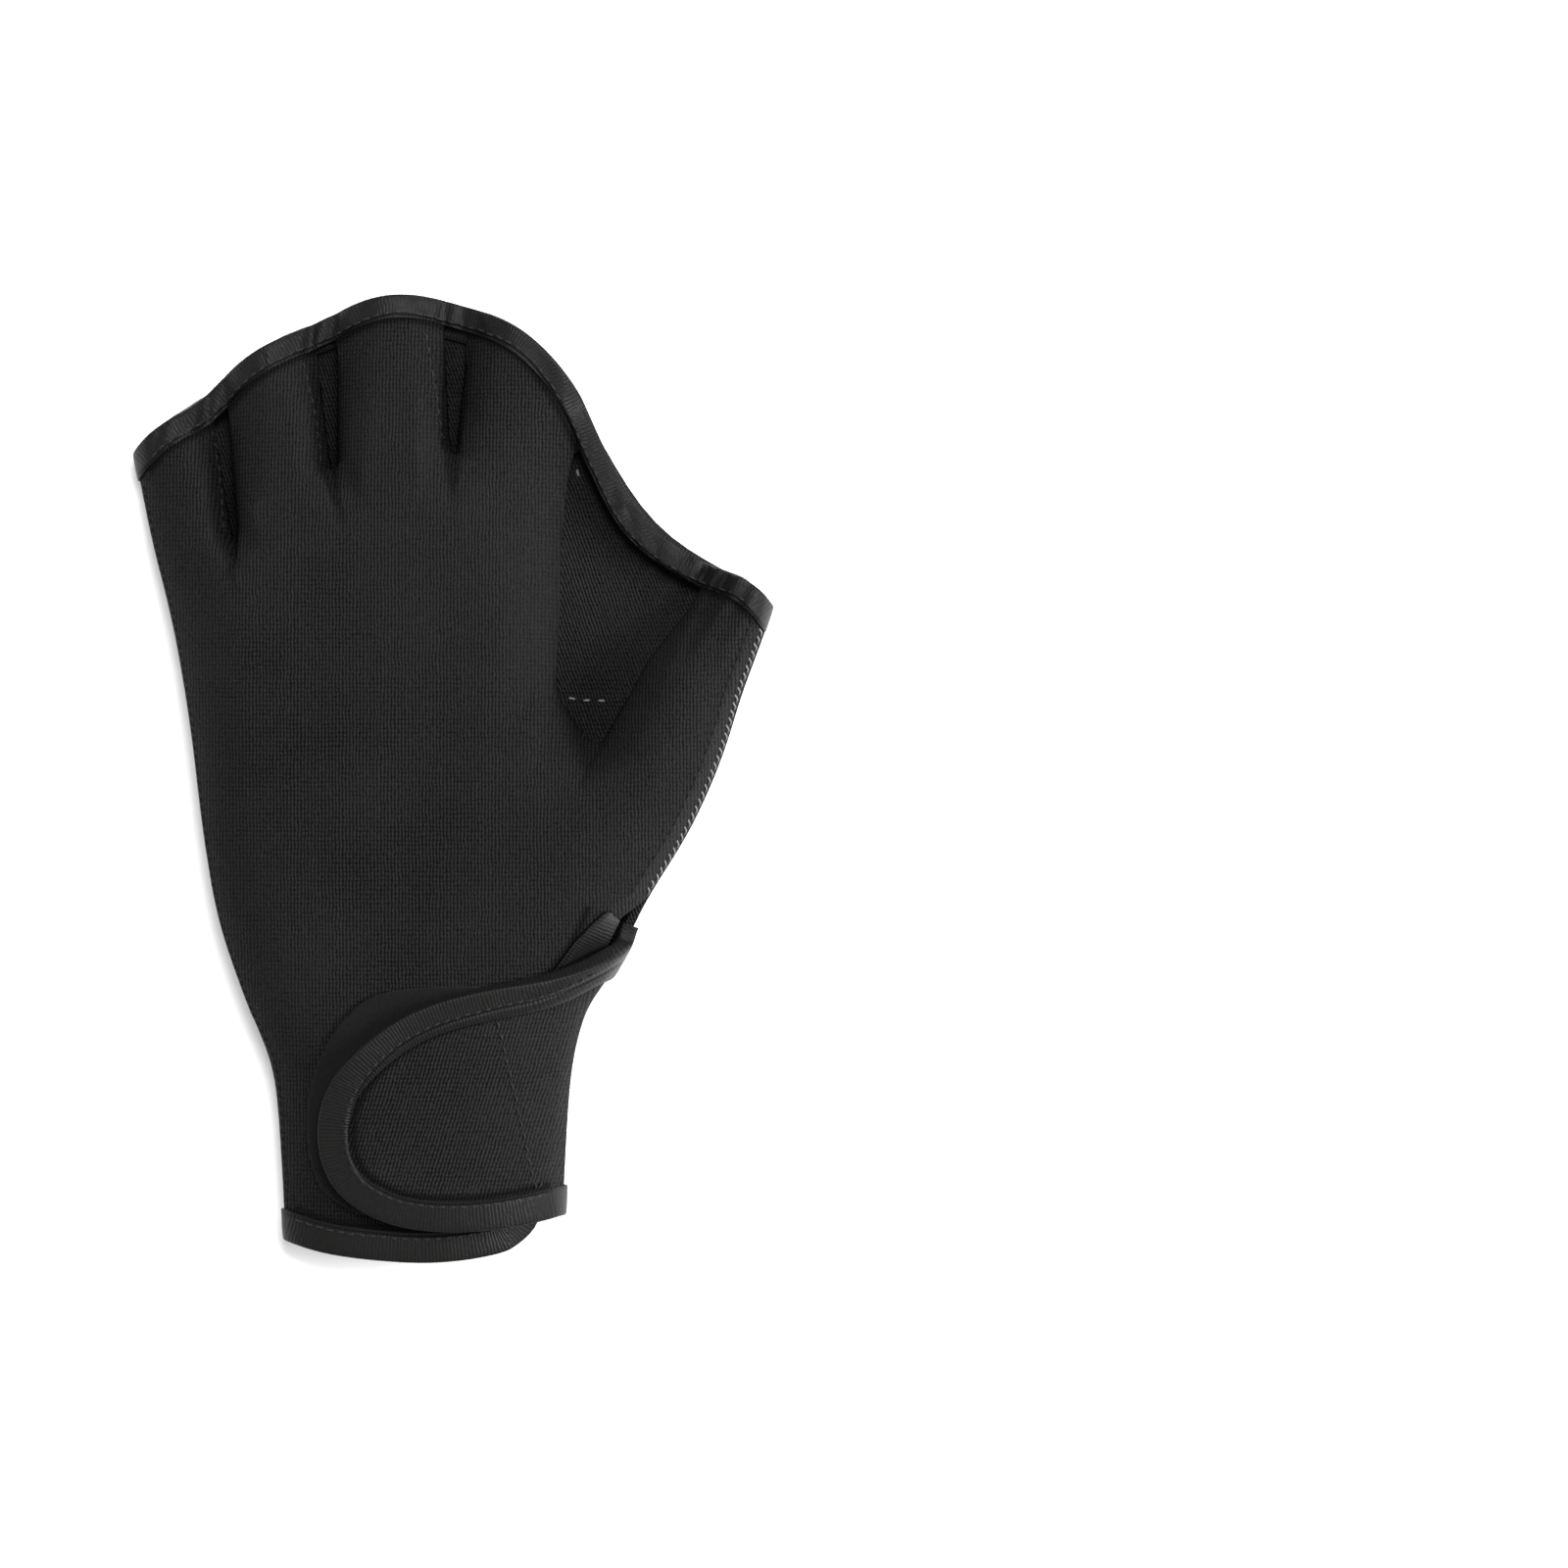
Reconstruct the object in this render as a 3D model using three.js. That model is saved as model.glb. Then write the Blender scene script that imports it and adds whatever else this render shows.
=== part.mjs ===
import * as THREE from 'three';

// A fingerless webbed swimming glove for one hand, lying on the back of the hand, palm up.
// The fingers point along +Y, the thumb along +X, and z = 0 is the surface under the glove.
// The palm and the back are two sheets of neoprene. The palm sheet has three finger slits and a
// cut-out for the thumb web, and their edges are sewn down to the back sheet, which is the web.

const handLength = 240; // wrist hem to the top of the finger edge
const handWidth = 162; // little-finger corner to the tip of the thumb
const sheetThickness = 2.5; // neoprene with jersey on both faces
const seamGap = 0.3; // clearance between pieces that are sewn together
const tapeThickness = 0.7; // binding tape
const fingerLip = 5.2; // reach of the finger-edge binding onto the panels
const cuffLip = 6.8; // reach of the wrist and strap bindings onto the panels

const palmHeight = 29; // top of the palm over the surface
const mouthHeight = 17; // top of the finger openings at the bound edge
const seamHeight = 9; // side seams along the hand
const mouthSeamHeight = 5.4; // side seams at the finger edge
const palmRound = 26; // width over which the palm curves down to the side seams
const mouthRound = 11; // the same at the finger edge
const backRound = 12; // width over which the back curves up to the side seams
const mouthBackRound = 7; // the same at the finger edge
const mouthReach = 42; // how far the finger edge pulls the palm down

const slitLap = 6.2; // how far the palm's free wrist edge lies inside the folded strap
const seamUnder = 12; // where the strap is sewn on under the wrist, in from the fold
const notchReach = 4; // length over which the free wrist edge leaves the thumb seam
const joinReach = 45; // length over which the strap's seam runs under the wrist
const notchLip = 3; // reach of the free edge's tape at the notch
const lipReach = 14; // length over which it widens
const joinGap = 1.7; // clearance between the strap and the back sheet where they are sewn together
const strapDrop = 3.5; // strap's top edge below the end of the thumb seam
const patchThickness = 0.8; // fastening patch
const patchSeat = 0.4; // patch over the palm

const stepAlong = 9.5; // longest cell along the hand
const tapeBuild = seamGap + tapeThickness;
const strapLift = patchSeat + patchThickness + seamGap + tapeBuild; // strap over the palm
const foldInset = strapLift + sheetThickness; // palm inside the outer face of the fold

// Outlines of the sheets as [x, y], in shares of handWidth and handLength from the palm's centre.
const leftSeam = outline([
  [-0.258, -0.473], [-0.266, -0.374], [-0.278, -0.296], [-0.316, -0.235], [-0.36, -0.147],
  [-0.384, -0.056], [-0.404, 0.054], [-0.431, 0.16], [-0.461, 0.241], [-0.49, 0.331],
]);
const rightSide = outline([
  [0.168, -0.465], [0.175, -0.369], [0.185, -0.288], [0.209, -0.234], [0.261, -0.183],
  [0.291, -0.132], [0.36, -0.056], [0.41, 0.019], [0.443, 0.09], [0.466, 0.131], [0.488, 0.173],
]);
const fingerEdge = outline([
  [-0.49, 0.331], [-0.451, 0.357], [-0.399, 0.38], [-0.316, 0.429], [-0.204, 0.469],
  [-0.093, 0.495], [0.027, 0.482], [0.116, 0.454], [0.181, 0.403], [0.231, 0.332],
  [0.284, 0.266], [0.355, 0.228], [0.452, 0.199], [0.488, 0.173],
]);
const backHem = outline([[-0.258, -0.473], [-0.078, -0.474], [0.096, -0.465], [0.168, -0.465]]);
const notchY = -0.132 * handLength; // where the thumb seam ends

// Height of the hand from the wrist to the fingers: at is a share of handLength,
// crown a share of palmHeight.
const sections = [
  { name: 'hem', at: -0.5, crown: 0.74 },
  { name: 'wrist', at: -0.33, crown: 0.8 },
  { name: 'heel', at: -0.16, crown: 0.96 },
  { name: 'palm', at: 0.02, crown: 1 },
  { name: 'knuckles', at: 0.3, crown: 0.93 },
];

// Cut-outs of the palm sheet: left and right edges from the finger edge down to the bottom,
// in the outlines' shares. round is how wide the sheet curves down at the bottom, in mm.
const cutouts = [
  { name: 'little_ring', left: [[-0.375, 0.393], [-0.341, 0.25]], right: [[-0.33, 0.42], [-0.333, 0.25]],
    round: 6, cells: 1 },
  { name: 'ring_middle', left: [[-0.23, 0.46], [-0.189, 0.319]], right: [[-0.163, 0.48], [-0.181, 0.319]],
    round: 6, cells: 1 },
  { name: 'middle_index', left: [[-0.039, 0.488], [-0.007, 0.337]], right: [[0.04, 0.48], [0.001, 0.337]],
    round: 6, cells: 1 },
  { name: 'thumb', left: [[0.21, 0.357], [0.179, 0.324], [0.163, 0.236], [0.154, 0.09]],
    right: [[0.393, 0.214], [0.373, 0.183], [0.303, 0.13], [0.239, 0.083]], round: 16, cells: 4 },
];
const fingerCells = 6; // cells across each finger

function outline(rows) {
  const points = rows.map(([x, y]) => new THREE.Vector3(x * handWidth, y * handLength, 0));
  return new THREE.CatmullRomCurve3(points, false, 'centripetal');
}

function ease(share) {
  return THREE.MathUtils.smoothstep(share, 0, 1);
}

function mix(a, b, share) {
  return a + (b - a) * share;
}

// Elliptical rise from 0, where it is upright, to 1, where it is level.
function swell(share) {
  return Math.sqrt(1 - (1 - Math.min(Math.max(share, 0), 1)) ** 2);
}

// Soft wave from 0 to 1, level at both ends.
function wave(share) {
  return 0.5 - 0.5 * Math.cos(Math.PI * Math.min(Math.max(share, 0), 1));
}

// x of a side outline at a height y, continued straight past its ends.
function sideTable(curve) {
  const points = curve.getSpacedPoints(240);
  return (y) => {
    let k = points.findIndex((point) => point.y > y);
    if (k < 0) k = points.length - 1;
    k = Math.max(k, 1);
    const a = points[k - 1];
    const b = points[k];
    return a.x + ((b.x - a.x) * (y - a.y)) / (b.y - a.y);
  };
}

const leftX = sideTable(leftSeam);
const rightX = sideTable(rightSide);
const edgeLine = fingerEdge.getSpacedPoints(140);
const hemLine = backHem.getSpacedPoints(40);

// Outward normal of the thumb side's outline in plan.
function rightNormal(y) {
  return new THREE.Vector3(2, rightX(y - 1) - rightX(y + 1), 0).normalize();
}

// x of the strap's fold inside the thumb side's outline, or a share of the way to it.
function foldX(y, share = 1) {
  return rightX(y) - (share * foldInset) / rightNormal(y).x;
}

function distanceToLine(line, x, y) {
  let best = Infinity;
  for (let k = 1; k < line.length; k++) {
    const a = line[k - 1];
    const b = line[k];
    const dx = b.x - a.x;
    const dy = b.y - a.y;
    const share = ((x - a.x) * dx + (y - a.y) * dy) / (dx * dx + dy * dy || 1);
    const t = Math.min(Math.max(share, 0), 1);
    best = Math.min(best, Math.hypot(x - a.x - t * dx, y - a.y - t * dy));
  }
  return best;
}

function insideLine(line, x, y) {
  let inside = false;
  for (let k = 0, last = line.length - 1; k < line.length; last = k++) {
    const a = line[k];
    const b = line[last];
    if (a.y > y !== b.y > y && x < ((b.x - a.x) * (y - a.y)) / (b.y - a.y) + a.x) inside = !inside;
  }
  return inside;
}

// Outlines of the cut-outs in plan, filled in once the palm's grid is laid out.
const cutoutLines = [];

function distanceToCutout(line, x, y) {
  return insideLine(line, x, y) ? 0 : distanceToLine([...line, line[0]], x, y);
}

function crownAt(y) {
  const share = y / handLength;
  let k = sections.findIndex((section) => section.at > share);
  if (k < 0) return sections[sections.length - 1].crown * palmHeight;
  k = Math.max(k, 1);
  const a = sections[k - 1];
  const b = sections[k];
  return mix(a.crown, b.crown, ease((share - a.at) / (b.at - a.at))) * palmHeight;
}

function seamZ(x, y) {
  return mix(mouthSeamHeight, seamHeight, ease(distanceToLine(edgeLine, x, y) / 25));
}

// How far the back's outer face is raised for the tape under its bound edges.
function backRaise(x, y) {
  const mouth = 1 - ease((distanceToLine(edgeLine, x, y) - fingerLip) / 8);
  const hem = 1 - ease((distanceToLine(hemLine, x, y) - cuffLip) / 8);
  return tapeBuild * Math.max(mouth, hem);
}

// 1 in the bound finger edge, where the palm sheet is wavy, and 0 where it has upright walls.
function waviness(x, y) {
  return 1 - ease((distanceToLine(edgeLine, x, y) - fingerLip) / 11);
}

function uprightShare(x, y) {
  const wavy = waviness(x, y);
  return wavy * (2 - wavy);
}

// Outer face of the palm sheet where it is sewn down at a cut-out.
function cutoutZ(x, y) {
  const level = uprightShare(x, y);
  const tilt = level / Math.hypot(level, 1 - level);
  const inTape = 1 - ease((distanceToLine(edgeLine, x, y) - fingerLip) / 3);
  const seat = sheetThickness + seamGap + backRaise(x, y);
  return seat + sheetThickness * tilt + (2 * tapeBuild) * inTape;
}

// Outer face of the palm sheet, with foldShare 1 where it lies inside the folded strap.
function palmZ(x, y, foldShare) {
  const depth = distanceToLine(edgeLine, x, y);
  const open = ease(depth / mouthReach);
  const crown = mix(mouthHeight, crownAt(y), open);
  const round = mix(mouthRound, palmRound, open);
  const toLeft = Math.max(x - leftX(y), 0);
  const toRight = Math.max(foldX(y, foldShare) - x, 0);
  const wavy = waviness(x, y);
  let rise = swell(toLeft / round) * swell(toRight / round);
  let nearest = Infinity;
  cutouts.forEach((cutout, k) => {
    const away = distanceToCutout(cutoutLines[k], x, y);
    const reach = distanceToLine(edgeLine, cutout.foot.x, cutout.foot.y);
    const width = mix(mouthRound, cutout.round, Math.min(depth / reach, 1)) * Math.max(1, depth / reach);
    rise *= mix(swell(away / width), wave(away / width), wavy);
    nearest = Math.min(nearest, away);
  });
  const side = Math.min(toLeft, toRight);
  const foot = mix(cutoutZ(x, y), seamZ(x, y), nearest / (nearest + side + 1e-6));
  return foot + (crown - foot) * rise;
}

// Outer face of the back sheet.
function backZ(x, y) {
  const depth = distanceToLine(edgeLine, x, y);
  const round = mix(mouthBackRound, backRound, ease(depth / 25));
  const side = Math.max(Math.min(x - leftX(y), rightX(y) - x), 0);
  const flat = backRaise(x, y);
  return flat + (seamZ(x, y) - flat) * (1 - swell(side / round));
}

function foldShareAt(y) {
  return ease((notchY - y) / notchReach);
}

// A patch of the plan between four curves, each a function of a share from 0 to 1.
function planPatch(bottom, top, left, right) {
  const corner = [left(0), right(0), left(1), right(1)];
  return (s, t) => {
    const b = bottom(s);
    const u = top(s);
    const l = left(t);
    const r = right(t);
    const along = (k) => (1 - t) * b[k] + t * u[k] + (1 - s) * l[k] + s * r[k];
    const ends = (k) => (1 - t) * ((1 - s) * corner[0][k] + s * corner[1][k])
      + t * ((1 - s) * corner[2][k] + s * corner[3][k]);
    return new THREE.Vector3(along('x') - ends('x'), along('y') - ends('y'), 0);
  };
}

// Share of a patch that reaches a real depth in from one of its edges.
function lipShare(patch, s, t, depth, across) {
  const h = 1e-3;
  const alongS = patch(s + h, t).sub(patch(s - h, t)).divideScalar(2 * h);
  const alongT = patch(s, t + h).sub(patch(s, t - h)).divideScalar(2 * h);
  const area = Math.abs(alongS.x * alongT.y - alongS.y * alongT.x);
  return (depth * (across ? alongT.length() : alongS.length())) / area;
}

// Shares of a patch at a point of the plan.
function locate(patch, x, y) {
  let s = 0.5;
  let t = 0.7;
  const h = 1e-4;
  for (let k = 0; k < 25; k++) {
    const p = patch(s, t);
    const ds = patch(s + h, t).sub(p).divideScalar(h);
    const dt = patch(s, t + h).sub(p).divideScalar(h);
    const det = ds.x * dt.y - ds.y * dt.x;
    const ex = x - p.x;
    const ey = y - p.y;
    s = Math.min(Math.max(s + (ex * dt.y - ey * dt.x) / det, 0.01), 0.99);
    t = Math.min(Math.max(t + (ds.x * ey - ds.y * ex) / det, 0.01), 1);
  }
  return { s, t };
}

// Value at t on a line of [t, value] pairs in rising t.
function onLine(pairs, t) {
  let k = pairs.findIndex((pair) => pair[0] > t);
  if (k < 0) return pairs[pairs.length - 1][1];
  k = Math.max(k, 1);
  const [t0, v0] = pairs[k - 1];
  const [t1, v1] = pairs[k];
  return mix(v0, v1, (t - t0) / (t1 - t0));
}

// Levels between key levels, no further apart than step.
function fillLevels(keys, step) {
  const levels = [keys[0]];
  for (let k = 1; k < keys.length; k++) {
    const cells = Math.max(1, Math.round((keys[k] - keys[k - 1]) / step));
    for (let i = 1; i <= cells; i++) levels.push(mix(keys[k - 1], keys[k], i / cells));
  }
  return levels;
}

// A skin is a grid of points with an outward normal at each. open(i, j) leaves a cell out.
function makeSkin(points, outward, open = () => false) {
  const normals = points.map((column) => column.map(() => new THREE.Vector3()));
  const cells = [];
  for (let i = 0; i + 1 < points.length; i++) {
    for (let j = 0; j + 1 < points[0].length; j++) {
      if (open(i, j)) continue;
      cells.push([i, j]);
      const diagonal = points[i + 1][j + 1].clone().sub(points[i][j]);
      const other = points[i][j + 1].clone().sub(points[i + 1][j]);
      const face = diagonal.cross(other).multiplyScalar(outward);
      for (const [a, b] of [[i, j], [i + 1, j], [i + 1, j + 1], [i, j + 1]]) normals[a][b].add(face);
    }
  }
  normals.forEach((column) => column.forEach((normal) => normal.normalize()));
  return { points, normals, cells };
}

// A sheet is a skin with an outer and an inner face at two offsets along its normals.
function makeSheet(skin, outerOffset, innerOffset) {
  const shifted = (offset) => skin.points.map((column, i) =>
    column.map((point, j) => point.clone().addScaledVector(skin.normals[i][j], offset)));
  return { ...skin, outer: shifted(outerOffset), inner: shifted(innerOffset) };
}

// Collects triangles over shared points and closes them into one body with its faces out.
class Body {
  constructor() {
    this.ids = new Map();
    this.positions = [];
    this.triangles = [];
  }

  id(point) {
    const key = [point.x, point.y, point.z].map((value) => value.toFixed(5)).join();
    if (!this.ids.has(key)) {
      this.ids.set(key, this.positions.length / 3);
      this.positions.push(point.x, point.y, point.z);
    }
    return this.ids.get(key);
  }

  triangle(a, b, c) {
    const ids = [this.id(a), this.id(b), this.id(c)];
    if (ids[0] !== ids[1] && ids[1] !== ids[2] && ids[0] !== ids[2]) this.triangles.push(ids);
  }

  quad(a, b, c, d, split = a.distanceTo(c) <= b.distanceTo(d)) {
    if (split) {
      this.triangle(a, b, c);
      this.triangle(a, c, d);
    } else {
      this.triangle(a, b, d);
      this.triangle(b, c, d);
    }
  }

  geometry() {
    const geometry = new THREE.BufferGeometry();
    geometry.setAttribute('position', new THREE.Float32BufferAttribute(this.positions, 3));
    const point = (id) => new THREE.Vector3().fromArray(this.positions, id * 3);
    const volume = this.triangles.reduce((sum, [a, b, c]) =>
      sum + point(a).dot(point(b).cross(point(c))), 0);
    const faces = volume > 0 ? this.triangles : this.triangles.map(([a, b, c]) => [a, c, b]);
    geometry.setIndex(faces.flat());
    geometry.computeVertexNormals();
    return geometry;
  }
}

function sheetGeometry(sheet) {
  const body = new Body();
  const corners = ([i, j]) => [[i, j], [i + 1, j], [i + 1, j + 1], [i, j + 1]];
  const at = (grid, [i, j]) => grid[i][j];
  const edges = new Map();
  for (const cell of sheet.cells) {
    const ring = corners(cell);
    const [a, b, c, d] = ring.map((place) => at(sheet.outer, place));
    const split = a.distanceTo(c) <= b.distanceTo(d);
    body.quad(a, b, c, d, split);
    body.quad(...ring.map((place) => at(sheet.inner, place)).reverse(), !split);
    ring.forEach((place, k) => edges.set(`${place}|${ring[(k + 1) % 4]}`, [place, ring[(k + 1) % 4]]));
  }
  for (const [a, b] of edges.values()) {
    if (edges.has(`${b}|${a}`)) continue;
    body.quad(at(sheet.outer, b), at(sheet.outer, a), at(sheet.inner, a), at(sheet.inner, b));
  }
  return body.geometry();
}

// Section of a folded tape: over the lip, round the edge and back under, then the channel inside,
// and last the sheet's own edge and lip.
function tapeSection(sheet, edge, lip, along) {
  const at = (grid, [i, j]) => grid[i][j].clone();
  const normalE = at(sheet.normals, edge);
  const normalL = at(sheet.normals, lip);
  const outward = along.clone().cross(normalE).normalize();
  if (outward.dot(at(sheet.outer, edge).sub(at(sheet.outer, lip))) < 0) outward.negate();
  const over = (point, normal, amount) => point.addScaledVector(normal, amount);
  const turn = tapeBuild * Math.SQRT1_2;
  return [
    over(at(sheet.outer, lip), normalL, tapeBuild),
    over(at(sheet.outer, edge), normalE, tapeBuild),
    over(over(at(sheet.outer, edge), normalE, turn), outward, turn),
    over(over(at(sheet.inner, edge), normalE, -turn), outward, turn),
    over(at(sheet.inner, edge), normalE, -tapeBuild),
    over(at(sheet.inner, lip), normalL, -tapeBuild),
    over(at(sheet.inner, lip), normalL, -seamGap),
    over(over(at(sheet.inner, edge), normalE, -seamGap), outward, seamGap),
    over(over(at(sheet.outer, edge), normalE, seamGap), outward, seamGap),
    over(at(sheet.outer, lip), normalL, seamGap),
    at(sheet.outer, edge),
    at(sheet.outer, lip),
  ];
}

// Sections along a run of [edge, lip] places on one sheet.
function tapeRun(sheet, places) {
  const at = ([i, j]) => sheet.outer[i][j];
  return places.map(([edge, lip], k) => {
    const before = at(places[Math.max(k - 1, 0)][0]);
    const after = at(places[Math.min(k + 1, places.length - 1)][0]);
    return tapeSection(sheet, edge, lip, after.clone().sub(before));
  });
}

function averageSection(a, b) {
  return a.map((point, k) => point.clone().add(b[k]).multiplyScalar(0.5));
}

// The faces along the sheet are split the same way as the sheet's own cells.
function tapeGeometry(runs, closed) {
  const body = new Body();
  const [edge, lip] = [10, 11];
  const count = edge;
  const last = closed ? runs.length : runs.length - 1;
  for (let k = 0; k < last; k++) {
    const a = runs[k];
    const b = runs[(k + 1) % runs.length];
    const fromEdge = a[edge].distanceTo(b[lip]) <= b[edge].distanceTo(a[lip]);
    const splits = { 0: !fromEdge, 4: fromEdge, 6: !fromEdge, 8: fromEdge };
    for (let m = 0; m < count; m++) {
      const n = (m + 1) % count;
      body.quad(a[m], a[n], b[n], b[m], splits[m]);
    }
  }
  if (!closed) {
    const cap = (section, flip) => {
      const [o1, o2, o3, o4, o5, o6, i4, i3, i2, i1] = section;
      const faces = [[o1, i1, i2, o2], [o2, i2, o3], [o3, i2, i3, o4], [o4, i3, o5], [o5, i3, i4, o6]];
      for (const face of faces) {
        const ring = flip ? [...face].reverse() : face;
        if (ring.length === 4) body.quad(...ring);
        else body.triangle(...ring);
      }
    };
    cap(runs[0], false);
    cap(runs[runs.length - 1], true);
  }
  return body.geometry();
}

// Plan of the palm sheet: hem, finger edge, little-finger seam, and free wrist edge with thumb seam.
function palmPlan() {
  const right = (t) => {
    const point = rightSide.getPointAt(Math.min(Math.max(t, 0), 1));
    point.x -= slitLap * foldShareAt(point.y);
    return point;
  };
  const corner = right(0);
  const hem = outline([
    [-0.258, -0.473], [-0.197, -0.484], [-0.122, -0.491], [-0.033, -0.494], [0.042, -0.489],
    [0.084, -0.482], [corner.x / handWidth, corner.y / handLength],
  ]);
  const on = (curve) => (share) => curve.getPointAt(Math.min(Math.max(share, 0), 1));
  return planPatch(on(hem), on(fingerEdge), on(leftSeam), right);
}

function buildPalm() {
  const plan = palmPlan();
  const toPlace = ([x, y]) => locate(plan, x * handWidth, y * handLength);
  const lengthT = rightSide.getLength();
  const hemShare = (s) => lipShare(plan, Math.min(s, 0.9), 0.002, cuffLip, false);
  const edgeShare = (s) => 1 - lipShare(plan, Math.min(Math.max(s, 0.01), 0.985), 0.998, fingerLip, false);
  const tauOf = ({ s, t }) => (t - hemShare(s)) / (edgeShare(s) - hemShare(s));

  // Columns that follow the cut-outs' edges, each a line of shares over the rows.
  const keyLines = [[[0, 0]]];
  const feet = [];
  cutouts.forEach((cutout, k) => {
    for (const side of ['left', 'right']) {
      const places = cutout[side].map(toPlace);
      const foot = places[places.length - 1];
      const tau = tauOf(side === 'left' ? foot : { s: foot.s, t: feet[k].t });
      if (side === 'left') feet.push({ t: foot.t, tau });
      const line = places.slice(0, -1).map((place) => [tauOf(place), place.s]).reverse();
      line[line.length - 1][0] = 1.2;
      keyLines.push([[0, 0], [feet[k].tau, foot.s], ...line]);
    }
  });
  // Below the cut-outs the columns spread out evenly towards the hem.
  keyLines.slice(1).forEach((line, k) => {
    line[0][1] = 0.1 + 0.66 * ((Math.floor(k / 2) + (k % 2 ? 0.6 : 0.4)) / cutouts.length);
  });
  const bandShare = (tau) => {
    const t = Math.min(Math.max(tau, 0.08), 1);
    const depth = mix(notchLip, cuffLip, ease((notchY - plan(1, t).y) / lipReach));
    return 1 - lipShare(plan, 0.99, t, depth, true);
  };
  keyLines.push(null);

  const columns = [];
  const addStrip = (from, to, cells, rounded) => {
    for (let c = columns.length ? 1 : 0; c <= cells; c++) {
      const share = rounded ? wave(c / cells) : c / cells;
      columns.push({ from, to, share });
    }
  };
  const edgesAt = { };
  cutouts.forEach((cutout, k) => {
    addStrip(2 * k, 2 * k + 1, fingerCells, true);
    edgesAt[k] = [columns.length - 1];
    addStrip(2 * k + 1, 2 * k + 2, cutout.cells, false);
    edgesAt[k].push(columns.length - 1);
  });
  addStrip(keyLines.length - 2, keyLines.length - 1, fingerCells, true);
  const shareOf = (column, tau) => {
    const value = (k) => (keyLines[k] ? (k ? onLine(keyLines[k], tau) : 0) : bandShare(tau));
    return mix(value(column.from), value(column.to), column.share);
  };

  // Rows: the hem's band, then levels that meet the cut-outs' feet and the notch, then the edge's band.
  const notch = rightSide.getSpacedPoints(400).findIndex((point) => point.y > notchY) / 400;
  const keys = [0, notch - notchReach / lengthT, notch, ...feet.map((foot) => foot.tau), 1];
  const taus = fillLevels([...keys].sort((a, b) => a - b), stepAlong / (0.8 * handLength));
  const rowCount = taus.length + 1;
  const grid = [];
  for (let i = 0; i <= columns.length; i++) {
    grid.push([]);
    for (let j = 0; j <= rowCount; j++) {
      const tau = j === 0 ? 0 : j === rowCount ? 1 : taus[j - 1];
      const s = i === columns.length ? 1 : shareOf(columns[i], tau);
      const level = mix(hemShare(s), edgeShare(s), tau);
      const t = j === 0 ? 0 : j === rowCount ? 1 : level;
      grid[i].push(plan(s, t));
    }
  }

  const last = columns.length;
  // The corner of the free edge and the hem is rounded about the tape's lip.
  const pivot = grid[last - 1][1];
  grid[last][0].sub(pivot).setLength(cuffLip).add(pivot);
  const windows = cutouts.map((cutout, k) => {
    const foot = taus.findIndex((tau) => Math.abs(tau - feet[k].tau) < 1e-9) + 1;
    return { from: edgesAt[k][0], to: edgesAt[k][1], foot, top: rowCount - 1 };
  });
  windows.forEach((window, k) => {
    const line = [];
    for (let j = window.foot; j <= rowCount; j++) line.push(grid[window.from][j]);
    for (let i = window.from + 1; i <= window.to; i++) line.push(grid[i][rowCount]);
    for (let j = rowCount - 1; j >= window.foot; j--) line.push(grid[window.to][j]);
    for (let i = window.to - 1; i > window.from; i--) line.push(grid[i][window.foot]);
    cutoutLines[k] = line.map((point) => point.clone());
    const a = grid[window.from][window.foot];
    cutouts[k].foot = a.clone().lerp(grid[window.to][window.foot], 0.5);
  });

  const notchRow = taus.findIndex((tau) => Math.abs(tau - notch) < 1e-9) + 1;
  grid.forEach((column, i) => column.forEach((point, j) => {
    const seam = i === 0 || (i === last && j >= notchRow);
    const rim = windows.some((w) => (i === w.from || i === w.to) && j >= w.foot && j < rowCount
      || (j === w.foot && i > w.from && i < w.to));
    if (seam) point.z = seamZ(point.x, point.y) + seamGap / 2;
    else point.z = rim ? cutoutZ(point.x, point.y) : palmZ(point.x, point.y, foldShareAt(point.y));
  }));
  const open = (i, j) => windows.some((w) => i >= w.from && i < w.to && j >= w.foot && j < w.top);
  const skin = makeSkin(grid, 1, open);

  const flatten = (i, j) => skin.normals[i][j].setZ(0).normalize();
  for (let j = 0; j <= rowCount; j++) {
    flatten(0, j);
    if (j >= notchRow) flatten(last, j);
  }
  // Where the sheet is sewn down at a cut-out it stands upright, and it levels out in the binding.
  for (const w of windows) {
    const facing = new Map();
    const face = (i, j, x, y) => {
      const key = `${i},${j}`;
      const sum = facing.get(key) ?? new THREE.Vector3();
      facing.set(key, sum.add(new THREE.Vector3(x, y, 0).normalize()));
    };
    for (let j = w.foot; j < rowCount; j++) {
      for (const [i, sign] of [[w.from, 1], [w.to, -1]]) {
        const along = grid[i][Math.min(j + 1, rowCount - 1)].clone().sub(grid[i][Math.max(j - 1, w.foot)]);
        face(i, j, along.y * sign, -along.x * sign);
      }
    }
    for (let i = w.from; i <= w.to; i++) {
      const along = grid[Math.min(i + 1, w.to)][w.foot].clone().sub(grid[Math.max(i - 1, w.from)][w.foot]);
      face(i, w.foot, -along.y, along.x);
    }
    for (const [key, sum] of facing) {
      const [i, j] = key.split(',').map(Number);
      const level = uprightShare(grid[i][j].x, grid[i][j].y);
      skin.normals[i][j].copy(sum.normalize().multiplyScalar(1 - level)).setZ(level).normalize();
    }
  }
  return { sheet: makeSheet(skin, 0, -sheetThickness), last, rowCount, notchRow };
}

// Plan of the back sheet: its right side is the thumb seam and then the seam to the strap.
function underInset(y) {
  return seamUnder * ease((notchY - y) / joinReach);
}

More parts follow.
